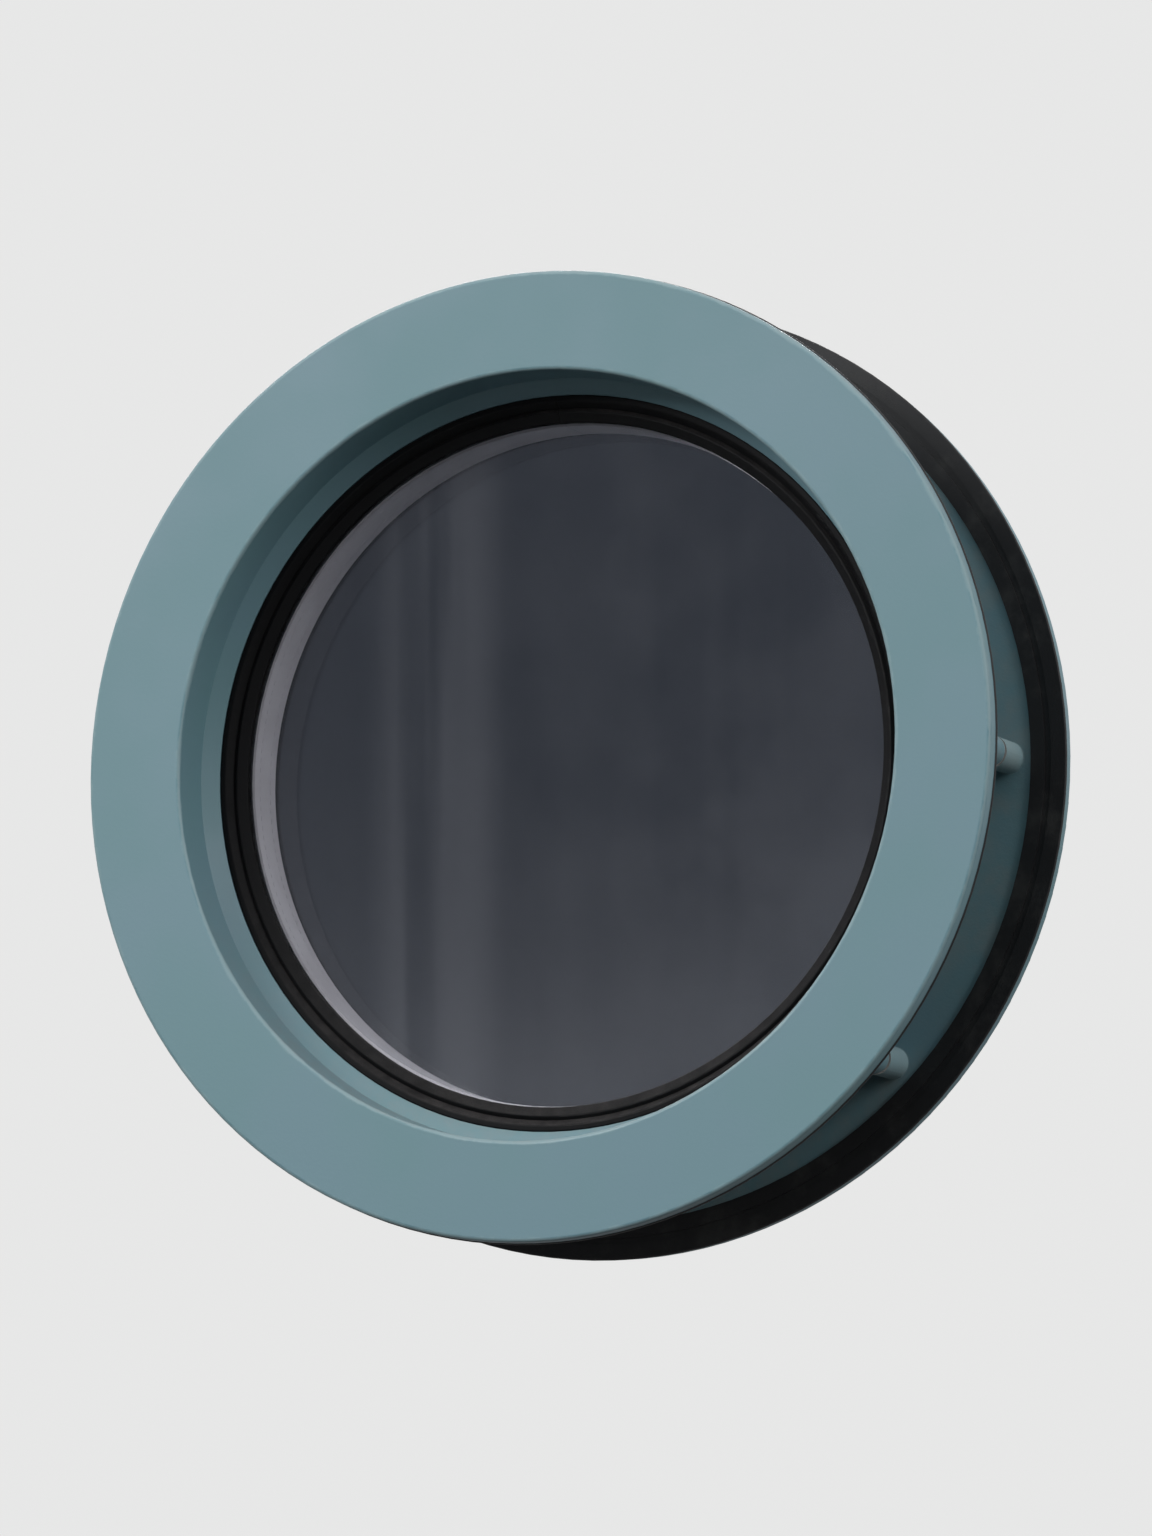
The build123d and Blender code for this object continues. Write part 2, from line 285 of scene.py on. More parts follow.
def make_rim_wear():
    """A broken line along a round edge, where the finish is thin and worn, and paler as a painted
    highlight.
    """
    inputs = {
        "Position": None,
        "Radius": 0.0,
        "Depth": 0.0,
        "Edge Radius": flange_radius,
        "Edge Depth": 0.0,
        "Width": 1.0 * MM,
        "Patch": 9.0 * MM,
    }
    tree, given, result = new_effect("worn_and_highlit_rim", inputs, ["Mask"])
    across = reckon(tree, "SUBTRACT", given["Radius"], given["Edge Radius"])
    along = reckon(tree, "SUBTRACT", given["Depth"], given["Edge Depth"])
    apart = put(tree, "ShaderNodeVectorMath", {0: joined(tree, across, along, 0.0)}, operation="LENGTH")
    ragged = cloud(tree, given["Position"], given["Patch"], 5.0, 0.65)
    width = reckon(tree, "MULTIPLY", given["Width"], eased(tree, ragged, 0.3, 0.7, 0.35, 1.3))
    near = reckon(tree, "DIVIDE", apart.outputs["Value"], width)
    tree.links.new(eased(tree, near, 1.0, 0.3), result["Mask"])
    return tree


def make_paint_film():
    """The skin of sprayed paint: fine orange peel, with slow changes of tone."""
    inputs = {"Position": None, "Peel": 1.1 * MM, "Patch": 60.0 * MM}
    tree, given, result = new_effect("paint_film", inputs, ["Height", "Tone", "Speck"])
    ripple = cloud(tree, given["Position"], given["Peel"], 1.0)
    grain = cloud(tree, given["Position"], reckon(tree, "MULTIPLY", given["Peel"], 0.22), 2.0)
    height = reckon(tree, "MULTIPLY_ADD", grain, 0.25, ripple)
    tree.links.new(height, result["Height"])
    tone = cloud(tree, given["Position"], given["Patch"], 3.0, 0.55)
    tree.links.new(eased(tree, tone, 0.32, 0.68), result["Tone"])
    speck = cloud(tree, given["Position"], reckon(tree, "MULTIPLY", given["Peel"], 2.2), 2.0, 0.7)
    tree.links.new(eased(tree, speck, 0.7, 0.78), result["Speck"])
    return tree


def make_settled_dust():
    """Dust that has settled where the surface looks up, thicker in patches."""
    inputs = {"Position": None, "Normal": None, "Amount": 0.5, "Patch": 6.0 * MM}
    tree, given, result = new_effect("settled_dust", inputs, ["Mask"])
    up = eased(tree, split(tree, given["Normal"])["Z"], 0.05, 0.95)
    patches = eased(tree, cloud(tree, given["Position"], given["Patch"], 5.0, 0.6), 0.25, 0.75, 0.3, 1.0)
    fine = cloud(tree, given["Position"], 0.35 * MM, 1.0)
    mask = reckon(tree, "MULTIPLY", reckon(tree, "MULTIPLY", up, patches), given["Amount"])
    tree.links.new(reckon(tree, "MULTIPLY", mask, eased(tree, fine, 0.3, 0.6, 0.6, 1.0)), result["Mask"])
    return tree


def make_cast_skin():
    """The sand's grain on a casting, and the patches where spray hardly reached."""
    inputs = {"Position": None, "Grain": 0.9 * MM, "Patch": 16.0 * MM}
    tree, given, result = new_effect("cast_skin", inputs, ["Height", "Thin"])
    grain = cloud(tree, given["Position"], given["Grain"], 3.0, 0.7)
    lumps = cloud(tree, given["Position"], reckon(tree, "MULTIPLY", given["Grain"], 6.0), 2.0)
    tree.links.new(reckon(tree, "MULTIPLY_ADD", lumps, 0.8, grain), result["Height"])
    thin = cloud(tree, given["Position"], given["Patch"], 5.0, 0.65)
    tree.links.new(eased(tree, thin, 0.38, 0.72), result["Thin"])
    return tree


def make_rubber_skin():
    """Moulded rubber: fine pits, and a pale bloom that lies in patches."""
    inputs = {"Position": None, "Pit": 0.35 * MM, "Patch": 14.0 * MM}
    tree, given, result = new_effect("rubber_skin", inputs, ["Height", "Bloom"])
    tree.links.new(cloud(tree, given["Position"], given["Pit"], 2.0, 0.6), result["Height"])
    bloom = cloud(tree, given["Position"], given["Patch"], 6.0, 0.68)
    tree.links.new(eased(tree, bloom, 0.45, 0.75), result["Bloom"])
    return tree


def make_drawn_grain():
    """Fine lines that run round the window, as on drawn, rolled or turned metal."""
    inputs = {"Radius": 0.0, "Angle": 0.0, "Depth": 0.0, "Spacing": 0.2 * MM, "Length": 6.0 * MM}
    tree, given, result = new_effect("drawn_grain", inputs, ["Height"])
    stretch = reckon(tree, "DIVIDE", given["Spacing"], given["Length"])
    round_x = reckon(tree, "MULTIPLY", reckon(tree, "COSINE", given["Angle"]), given["Radius"])
    round_z = reckon(tree, "MULTIPLY", reckon(tree, "SINE", given["Angle"]), given["Radius"])
    place = joined(
        tree,
        reckon(tree, "MULTIPLY_ADD", round_x, stretch, given["Radius"]),
        given["Depth"],
        reckon(tree, "MULTIPLY", round_z, stretch),
    )
    tree.links.new(cloud(tree, place, given["Spacing"], 3.0, 0.6), result["Height"])
    return tree


def make_seam():
    """A thin line across a ring at one angle, where its two ends meet."""
    inputs = {"Radius": 0.0, "Angle": 0.0, "Seam Angle": QUARTER_TURN, "Width": 0.3 * MM}
    tree, given, result = new_effect("seam", inputs, ["Mask"])
    off = reckon(tree, "ABSOLUTE", reckon(tree, "SUBTRACT", given["Angle"], given["Seam Angle"]))
    away = reckon(tree, "DIVIDE", reckon(tree, "MULTIPLY", off, given["Radius"]), given["Width"])
    tree.links.new(eased(tree, away, 1.0, 0.4), result["Mask"])
    return tree


ring_coordinates = make_ring_coordinates()
screw_coordinates = make_screw_coordinates(ring_coordinates)
worn_and_highlit_rim = make_rim_wear()
paint_film = make_paint_film()
settled_dust = make_settled_dust()
cast_skin = make_cast_skin()
rubber_skin = make_rubber_skin()
drawn_grain = make_drawn_grain()
seam = make_seam()


# Colours, as linear light

TEAL = (0.158, 0.281, 0.328, 1.0)
TEAL_GREENER = (0.151, 0.284, 0.317, 1.0)
TEAL_THIN = (0.205, 0.285, 0.300, 1.0)
# Paler teal along the rims: worn paint, and a painted highlight on the round edges
TEAL_WORN_AND_HIGHLIT = (0.300, 0.420, 0.440, 1.0)
DUST = (0.300, 0.278, 0.272, 1.0)
BARE_CASTING = (0.600, 0.600, 0.590, 1.0)
SEAL_BLACK = (0.016, 0.016, 0.017, 1.0)
SEAL_BLOOM = (0.060, 0.060, 0.058, 1.0)
GASKET_BLACK = (0.004, 0.004, 0.0045, 1.0)
GASKET_BLOOM = (0.012, 0.012, 0.012, 1.0)
CLEAR = (0.930, 0.965, 0.950, 1.0)
SMOKE = (0.016, 0.018, 0.024, 1.0)
SPACER_PALE = (0.800, 0.755, 0.835, 1.0)
SPACER_DULL = (0.670, 0.625, 0.695, 1.0)
ZINC_PALE = (0.620, 0.630, 0.640, 1.0)
ZINC_DARK = (0.360, 0.370, 0.380, 1.0)
BEAD_PALE = (0.560, 0.470, 0.350, 1.0)
BEAD_DARK = (0.300, 0.220, 0.140, 1.0)
BUTYL_BLACK = (0.010, 0.010, 0.010, 1.0)
BUTYL_GREY = (0.030, 0.030, 0.030, 1.0)
SEALANT_GREY = (0.035, 0.036, 0.038, 1.0)
SEALANT_PALE = (0.075, 0.076, 0.078, 1.0)
BLOCK_BLUE = (0.020, 0.110, 0.380, 1.0)
BLOCK_BLUE_PALE = (0.070, 0.190, 0.480, 1.0)
STEEL_PALE = (0.620, 0.610, 0.590, 1.0)
STEEL_DARK = (0.360, 0.350, 0.330, 1.0)
# Painted shade at the bottom of the screws' sockets
SOCKET_SHADE = (0.085, 0.078, 0.070, 1.0)
BRASS_PALE = (0.760, 0.560, 0.260, 1.0)
BRASS_DARK = (0.450, 0.300, 0.120, 1.0)
# Colour of the dust film on the glass, whose paler band also stands as a painted reflection
GRIME_AND_REFLECTION = (0.375, 0.385, 0.430, 1.0)
FLOOR_PALE = (0.590, 0.590, 0.587, 1.0)
FLOOR_SHADE = (0.040, 0.040, 0.040, 1.0)
FLOOR_MIRRORED = (0.240, 0.240, 0.240, 1.0)


def new_material(name, **constants):
    """A material, its tree, its shader with the constants set, and the point being shaded."""
    material = bpy.data.materials.new(name)
    material.use_nodes = True
    tree = material.node_tree
    shader = tree.nodes["Principled BSDF"]
    for socket, value in constants.items():
        shader.inputs[socket.replace("_", " ")].default_value = value
    place = put(tree, "ShaderNodeTexCoord").outputs["Object"]
    return material, tree, shader, place


def raised(tree, shader, height, distance, strength=1.0):
    """Gives a shader the relief of a height that runs from 0 to 1."""
    inputs = {"Height": height, "Distance": distance, "Strength": strength}
    tree.links.new(put(tree, "ShaderNodeBump", inputs).outputs["Normal"], shader.inputs["Normal"])


def facing(tree):
    """The surface's own normal."""
    return put(tree, "ShaderNodeNewGeometry").outputs["Normal"]


def frame_paint(name, face, back_edge, bare_depth, dust_amount, screw_wear):
    """Teal paint on a cast ring, worn round its screws, paler along its rims as worn paint and painted
    highlight, and dusty where it looks up.

    Behind the flange, where the leaf hides it, the casting keeps its grain and the paint is thin.
    The face that meets the other ring is machined and bare.
    """
    material, tree, shader, place = new_material(name, IOR=1.5)
    ring = use(tree, ring_coordinates, Position=place)
    film = use(tree, paint_film, Position=place)
    inward = EDGE_ROUND / 3 * (1 if back_edge > face else -1)
    worn_and_highlit_marks = []
    # The lines along the flange's rim and the opening's rim are paler: partly worn paint, partly a
    # painted highlight
    for edge_radius in (flange_radius - EDGE_ROUND / 3, opening_radius + EDGE_ROUND / 3):
        worn_and_highlit_edge = use(
            tree,
            worn_and_highlit_rim,
            Position=place,
            Radius=ring["Radius"],
            Depth=ring["Depth"],
            Edge_Radius=edge_radius,
            Edge_Depth=face + inward,
            Width=EDGE_ROUND,
        )
        worn_and_highlit_marks.append(worn_and_highlit_edge["Mask"])
    own = use(tree, screw_coordinates, Position=place)["Radius"]
    chips = reckon(tree, "MULTIPLY", film["Speck"], PAINT_CHIP)
    apart = reckon(tree, "SUBTRACT", own, chips)
    turned = eased(tree, apart, SCREW_HEAD_RADIUS + DRIVER_WEAR, SCREW_HEAD_RADIUS)
    worn_and_highlit_marks.append(reckon(tree, "MULTIPLY", turned, screw_wear))
    worn_and_highlit = reckon(tree, "MAXIMUM", reckon(tree, "MAXIMUM", worn_and_highlit_marks[0], worn_and_highlit_marks[1]), worn_and_highlit_marks[2])
    worn_and_highlit = reckon(tree, "MULTIPLY", worn_and_highlit, WORN_AND_HIGHLIT_SHARE)
    cast = use(tree, cast_skin, Position=place)
    past_flange = reckon(tree, "ABSOLUTE", reckon(tree, "SUBTRACT", ring["Depth"], face))
    hidden = eased(tree, past_flange, FLANGE_THICKNESS - CAST_SKIN_FADE, FLANGE_THICKNESS)
    skin_start = opening_radius + CAST_SKIN_START
    outside = eased(tree, ring["Radius"], skin_start, skin_start + CAST_SKIN_FADE)
    hidden = reckon(tree, "MULTIPLY", hidden, outside)
    dust = use(tree, settled_dust, Position=place, Normal=facing(tree), Amount=dust_amount)["Mask"]
    colour = blend(tree, film["Tone"], TEAL, TEAL_GREENER)
    colour = blend(tree, reckon(tree, "MULTIPLY", hidden, cast["Thin"]), colour, TEAL_THIN)
    # Paler rims: worn paint and painted highlight
    colour = blend(tree, worn_and_highlit, colour, TEAL_WORN_AND_HIGHLIT)
    colour = blend(tree, dust, colour, DUST)
    low, high = sorted((bare_depth, bare_depth + (BARE_FADE if bare_depth > face else -BARE_FADE)))
    bare = eased(tree, ring["Depth"], low, high)
    if bare_depth < face:
        bare = reckon(tree, "SUBTRACT", 1.0, bare)
    tree.links.new(blend(tree, bare, colour, BARE_CASTING), shader.inputs["Base Color"])
    tree.links.new(bare, shader.inputs["Metallic"])
    rough = eased(tree, film["Tone"], 0.0, 1.0, 0.42, 0.50)
    rough = reckon(tree, "MULTIPLY_ADD", hidden, 0.15, rough)
    tree.links.new(reckon(tree, "MULTIPLY_ADD", dust, 0.35, rough), shader.inputs["Roughness"])
    grain = reckon(tree, "MULTIPLY", hidden, cast["Height"])
    grain = reckon(tree, "MULTIPLY", grain, CAST_RELIEF)
    raised(tree, shader, reckon(tree, "ADD", film["Height"], grain), 0.02 * MM, 0.8)
    return material


def rubber(name, plain, bloomed, bloom_share, roughness, shine, dust_amount):
    """Black rubber with a pale bloom, and the joint of its ends at the top."""
    material, tree, shader, place = new_material(name, IOR=1.5, Specular_IOR_Level=shine)
    ring = use(tree, ring_coordinates, Position=place)
    skin = use(tree, rubber_skin, Position=place)
    joint = use(tree, seam, Radius=ring["Radius"], Angle=ring["Angle"])["Mask"]
    dust = use(tree, settled_dust, Position=place, Normal=facing(tree), Amount=dust_amount)["Mask"]
    bloom = reckon(tree, "MULTIPLY", skin["Bloom"], bloom_share)
    colour = blend(tree, bloom, plain, bloomed)
    tree.links.new(blend(tree, dust, colour, DUST), shader.inputs["Base Color"])
    rough = eased(tree, skin["Bloom"], 0.0, 1.0, roughness, roughness + 0.2)
    tree.links.new(rough, shader.inputs["Roughness"])
    height = reckon(tree, "MULTIPLY_ADD", joint, -2.0, skin["Height"])
    raised(tree, shader, height, 0.05 * MM)
    return material


def glass(name, colour, smear, clearness):
    """Float glass whose gloss is broken a little by smears, and which lets its share of the light in."""
    material, tree, shader, place = new_material(
        name,
        Base_Color=colour,
        IOR=1.52,
        Transmission_Weight=1.0,
    )
    wiped = put(tree, "ShaderNodeMapping", {"Vector": place, "Scale": (1.0, 1.0, 0.12)}).outputs[0]
    streaks = cloud(tree, wiped, 30.0 * MM, 1.0, 0.4)
    tree.links.new(eased(tree, streaks, 0.3, 0.7, 0.0, smear), shader.inputs["Roughness"])
    path = put(tree, "ShaderNodeLightPath").outputs
    passing = reckon(tree, "MAXIMUM", path["Is Shadow Ray"], path["Is Diffuse Ray"])
    tree.links.new(reckon(tree, "MULTIPLY_ADD", passing, -clearness, 1.0), shader.inputs["Alpha"])
    return material


def ring_metal(name, pale, dull, metallic, roughness, spacing):
    """Rolled metal under its dull coat, with its grain round the window."""
    material, tree, shader, place = new_material(name, Metallic=metallic)
    ring = use(tree, ring_coordinates, Position=place)
    grain = use(
        tree,
        drawn_grain,
        Radius=ring["Radius"],
        Angle=ring["Angle"],
        Depth=ring["Depth"],
        Spacing=spacing,
    )["Height"]
    patches = eased(tree, cloud(tree, place, 17.0 * MM, 4.0, 0.6), 0.3, 0.7)
    share = reckon(tree, "MULTIPLY", patches, eased(tree, grain, 0.3, 0.7, 0.4, 1.0))
    tree.links.new(blend(tree, share, pale, dull), shader.inputs["Base Color"])
    rough = eased(tree, grain, 0.2, 0.8, roughness, roughness + 0.15)
    tree.links.new(rough, shader.inputs["Roughness"])
    raised(tree, shader, grain, 0.01 * MM)
    return material


def screw_metal(name, pale, dark, roughness):
    """Turned metal with rings of tool marks round each screw's own axis, and painted shade that darkens
    the bottom of its socket.
    """
    material, tree, shader, place = new_material(name, Metallic=1.0)
    ring = use(tree, ring_coordinates, Position=place)
    own = use(tree, screw_coordinates, Position=place)["Radius"]
    marks = cloud(tree, joined(tree, own, ring["Depth"], 0.0), 0.12 * MM, 2.0, 0.5)
    stain = eased(tree, cloud(tree, place, 3.0 * MM, 3.0, 0.5), 0.35, 0.85, 0.0, 0.7)
    # The bottom of each socket is painted dark: painted shade
    socket_shade = eased(tree, ring["Depth"], inner_face - SOCKET_SHADE_FADE, inner_face - SOCKET_DEPTH)
    in_socket = eased(tree, own, SOCKET_SHADE_RADIUS + SOCKET_SHADE_FADE, SOCKET_SHADE_RADIUS - SOCKET_SHADE_FADE)
    socket_shade = reckon(tree, "MULTIPLY", socket_shade, in_socket)
    colour = blend(tree, stain, pale, dark)
    tree.links.new(blend(tree, socket_shade, colour, SOCKET_SHADE), shader.inputs["Base Color"])
    rough = eased(tree, marks, 0.2, 0.8, roughness, roughness + 0.18)
    tree.links.new(reckon(tree, "MULTIPLY_ADD", socket_shade, 0.5, rough), shader.inputs["Roughness"])
    raised(tree, shader, marks, 0.006 * MM)
    return material


def galvanised(name):
    """Zinc coated steel with its crystals."""
    material, tree, shader, place = new_material(name, Metallic=1.0)
    cells = put(tree, "ShaderNodeTexVoronoi", {"Vector": place, "Scale": 1 / (2.5 * MM)})
    tone = split(tree, cells.outputs["Color"])["X"]
    tree.links.new(blend(tree, tone, ZINC_DARK, ZINC_PALE), shader.inputs["Base Color"])
    tree.links.new(eased(tree, tone, 0.0, 1.0, 0.35, 0.6), shader.inputs["Roughness"])
    raised(tree, shader, cells.outputs["Distance"], 0.01 * MM)
    return material


def drying_beads(name):
    """Porous beads about a millimetre across, packed tight."""
    material, tree, shader, place = new_material(name, Roughness=0.9)
    cells = put(tree, "ShaderNodeTexVoronoi", {"Vector": place, "Scale": 1 / (1.1 * MM)})
    tone = split(tree, cells.outputs["Color"])["X"]
    shade = eased(tree, cells.outputs["Distance"], 0.2, 0.7)
    colour = blend(tree, tone, BEAD_DARK, BEAD_PALE)
    tree.links.new(blend(tree, shade, colour, BEAD_DARK), shader.inputs["Base Color"])
    raised(tree, shader, reckon(tree, "SUBTRACT", 1.0, cells.outputs["Distance"]), 0.5 * MM)
    return material


def soft_sealant(name, plain, pale, roughness, ripple):
    """A run of sealant, with slow ripples from its nozzle or its knife."""
    material, tree, shader, place = new_material(name, IOR=1.5)
    ring = use(tree, ring_coordinates, Position=place)
    grain = use(
        tree,
        drawn_grain,
        Radius=ring["Radius"],
        Angle=ring["Angle"],
        Depth=ring["Depth"],
        Spacing=ripple,
        Length=5 * ripple,
    )["Height"]
    tree.links.new(blend(tree, eased(tree, grain, 0.35, 0.7), plain, pale), shader.inputs["Base Color"])
    rough = eased(tree, grain, 0.3, 0.7, roughness, roughness + 0.2)
    tree.links.new(rough, shader.inputs["Roughness"])
    raised(tree, shader, grain, 0.2 * MM)
    return material


def moulded_plastic(name, plain, pale):
    """Moulded plastic with a fine spark finish and scuffed patches."""
    material, tree, shader, place = new_material(name, IOR=1.49)
    grain = cloud(tree, place, 0.2 * MM, 2.0, 0.6)
    scuffs = eased(tree, cloud(tree, place, 5.0 * MM, 6.0, 0.7), 0.5, 0.8, 0.0, 0.6)
    tree.links.new(blend(tree, scuffs, plain, pale), shader.inputs["Base Color"])
    tree.links.new(eased(tree, grain, 0.3, 0.7, 0.4, 0.55), shader.inputs["Roughness"])
    raised(tree, shader, grain, 0.02 * MM)
    return material


def glass_grime(name):
    """A thin film of dust on the glass: wiped streaks in a band that is also a painted reflection, and a
    bank of dust along the bottom.
    """
    material, tree, shader, place = new_material(name, Base_Color=GRIME_AND_REFLECTION, Roughness=0.9)
    ring = use(tree, ring_coordinates, Position=place)
    x, _, z = split(tree, place)
    tall = put(tree, "ShaderNodeMapping", {"Vector": place, "Scale": (1.0, 1.0, 0.03)}).outputs[0]
    streaks = eased(tree, cloud(tree, tall, 12.0 * MM, 3.0, 0.5), 0.3, 0.65)
    # The band of streaks left of the middle is dust and also a painted reflection
    off_middle = reckon(tree, "ABSOLUTE", reckon(tree, "SUBTRACT", x, STREAK_MIDDLE))
    streak_band_and_reflection = eased(tree, off_middle, STREAK_REACH, STREAK_CORE)
    low = eased(tree, z, HAZE_TOP, HAZE_BOTTOM)
    near_rim = eased(tree, ring["Radius"], HAZE_CORE, sight_radius, 0.35, 1.0)
    bottom = reckon(tree, "MULTIPLY", low, near_rim)
    bottom = reckon(tree, "MULTIPLY", bottom, eased(tree, x, HAZE_LEFT, 0.0, 0.55, 1.0))
    mist = eased(tree, cloud(tree, place, 55.0 * MM, 4.0, 0.6), 0.3, 0.7)
    side = eased(tree, x, MIST_LEFT, MIST_RIGHT, 0.15, 1.0)
    leftover_and_reflection = reckon(tree, "MULTIPLY_ADD", streak_band_and_reflection, STREAK_DUST_AND_REFLECTION, WIPED_DUST)
    alpha = reckon(tree, "MULTIPLY", streaks, leftover_and_reflection)
    alpha = reckon(tree, "ADD", alpha, reckon(tree, "MULTIPLY", bottom, HAZE_DUST))
    mist = reckon(tree, "MULTIPLY", mist, side)
    alpha = reckon(tree, "ADD", alpha, reckon(tree, "MULTIPLY", mist, MIST_DUST))
    tree.links.new(alpha, shader.inputs["Alpha"])
    return material


bare_outdoors = outer_frame_end - BARE_SKIN
bare_indoors = inner_frame_start + BARE_SKIN
paint_outdoors = frame_paint(
    "paint_outdoors",
    outer_face,
    outer_frame_end,
    bare_outdoors,
    dust_amount=0.45,
    screw_wear=0.0,
)
paint_indoors = frame_paint(
    "paint_indoors",
    inner_face,
    inner_frame_start,
    bare_indoors,
    dust_amount=0.15,
    screw_wear=1.0,
)
finishes = {"outer_frame": paint_outdoors, "inner_frame": paint_indoors}
seal_rubber = rubber(
    "seal_rubber",
    SEAL_BLACK,
    SEAL_BLOOM,
    bloom_share=0.6,
    roughness=0.5,
    shine=0.3,
    dust_amount=0.2,
)
gasket_rubber = rubber(
    "gasket_rubber",
    GASKET_BLACK,
    GASKET_BLOOM,
    bloom_share=0.5,
    roughness=0.6,
    shine=0.15,
    dust_amount=0.16,
)
clear_glass = glass("clear_glass", CLEAR, smear=0.02, clearness=0.9)
tinted_glass = glass("tinted_glass", SMOKE, smear=0.03, clearness=0.1)
spacer_aluminium = ring_metal(
    "spacer_aluminium",
    SPACER_PALE,
    SPACER_DULL,
    metallic=0.1,
    roughness=0.5,
    spacing=0.25 * MM,
)
butyl = soft_sealant("butyl", BUTYL_BLACK, BUTYL_GREY, roughness=0.25, ripple=1.2 * MM)
edge_sealant = soft_sealant(
    "edge_sealant",
    SEALANT_GREY,
    SEALANT_PALE,
    roughness=0.45,
    ripple=1.8 * MM,
)
block_plastic = moulded_plastic("block_plastic", BLOCK_BLUE, BLOCK_BLUE_PALE)
screw_steel = screw_metal("screw_steel", STEEL_PALE, STEEL_DARK, roughness=0.22)
insert_brass = screw_metal("insert_brass", BRASS_PALE, BRASS_DARK, roughness=0.28)
for seal in ("outer_leaf_seal", "inner_leaf_seal"):
    finishes[seal] = seal_rubber
for gasket in ("outer_glazing_gasket", "inner_glazing_gasket"):
    finishes[gasket] = gasket_rubber
for bead in ("outer_butyl_seal", "inner_butyl_seal"):
    finishes[bead] = butyl
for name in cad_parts:
    if name.startswith(("setting_block", "location_block")):
        finishes[name] = block_plastic
finishes["outer_pane"] = clear_glass
finishes["inner_pane"] = tinted_glass
finishes["spacer_bar"] = spacer_aluminium
pane_dust_and_reflection = glass_grime("pane_dust_and_reflection")
finishes["spacer_key"] = galvanised("key_steel")
finishes["desiccant_fill"] = drying_beads("desiccant")
finishes["edge_seal"] = edge_sealant
finishes["frame_screws"] = screw_steel
finishes["threaded_inserts"] = insert_brass
for name, material in finishes.items():
    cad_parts[name].material_slots[0].material = material


# Shapes that Geometry Nodes make

def new_shape(name, sizes):
    """An empty tree that takes a mesh and named sizes. Gives its inputs and its output."""
    tree = bpy.data.node_groups.new(name, "GeometryNodeTree")
    tree.interface.new_socket("Geometry", in_out="INPUT", socket_type="NodeSocketGeometry")
    for socket, value in sizes.items():
        kind = "NodeSocketInt" if isinstance(value, int) else "NodeSocketFloat"
        tree.interface.new_socket(socket, in_out="INPUT", socket_type=kind).default_value = value
    tree.interface.new_socket("Geometry", in_out="OUTPUT", socket_type="NodeSocketGeometry")
    given = tree.nodes.new("NodeGroupInput").outputs
    return tree, given, tree.nodes.new("NodeGroupOutput").inputs["Geometry"]


def grown(name, tree, sizes, material, start=None):
    """The piece that a tree makes from the given sizes, and from a mesh if one is given."""
    piece = bpy.data.objects.new(name, start or bpy.data.meshes.new(name + "_start"))
    bpy.context.scene.collection.objects.link(piece)
    maker = piece.modifiers.new(tree.name, "NODES")
    maker.node_group = tree
    for item in tree.interface.items_tree:
        if item.in_out == "INPUT" and item.name in sizes:
            maker[item.identifier] = sizes[item.name]
    graph = bpy.context.evaluated_depsgraph_get()
    made = bpy.data.meshes.new_from_object(piece.evaluated_get(graph))
    piece.modifiers.remove(maker)
    piece.data = made
    made.name = name
    made.materials.clear()
    made.materials.append(material)
    made.polygons.foreach_set("material_index", [0] * len(made.polygons))
    return piece


def picked(tree, index, values):
    """The value whose place in a list has the given number."""
    made = tree.nodes.new("GeometryNodeIndexSwitch")
    made.data_type = "FLOAT"
    while len(made.index_switch_items) < len(values):
        made.index_switch_items.new()
    tree.links.new(index, made.inputs["Index"])
    for place, value in enumerate(values):
        if isinstance(value, bpy.types.NodeSocket):
            tree.links.new(value, made.inputs[str(place)])
        else:
            made.inputs[str(place)].default_value = value
    return made.outputs[0]


def turned_sheet(tree, rows):
    """A sheet to be wrapped round an axis: its mesh, each point's row, and its turn from 0 to 1."""
    inputs = {"Size X": 1.0, "Size Y": 1.0, "Vertices X": TURNED_SEGMENTS + 1, "Vertices Y": rows}
    sheet = put(tree, "GeometryNodeMeshGrid", inputs).outputs["Mesh"]
    x, y, _ = split(tree, put(tree, "GeometryNodeInputPosition").outputs[0])
    turn = reckon(tree, "ADD", x, 0.5)
    row = reckon(tree, "MULTIPLY", reckon(tree, "ADD", y, 0.5), reckon(tree, "SUBTRACT", rows, 1.0))
    return sheet, reckon(tree, "ROUND", row), turn


def wrapped(tree, sheet, turn, radius, along, datum):
    """The sheet wrapped into a closed shape whose lengths run outdoors from the datum."""
    angle = reckon(tree, "MULTIPLY", turn, FULL_TURN)
    place = joined(
        tree,
        reckon(tree, "MULTIPLY", radius, reckon(tree, "COSINE", angle)),
        reckon(tree, "SUBTRACT", datum, along),
        reckon(tree, "MULTIPLY", radius, reckon(tree, "SINE", angle)),
    )
    moved = put(tree, "GeometryNodeSetPosition", {"Geometry": sheet, "Position": place}).outputs[0]
    inputs = {"Geometry": moved, "Distance": SAME_POINT}
    return put(tree, "GeometryNodeMergeByDistance", inputs).outputs[0]


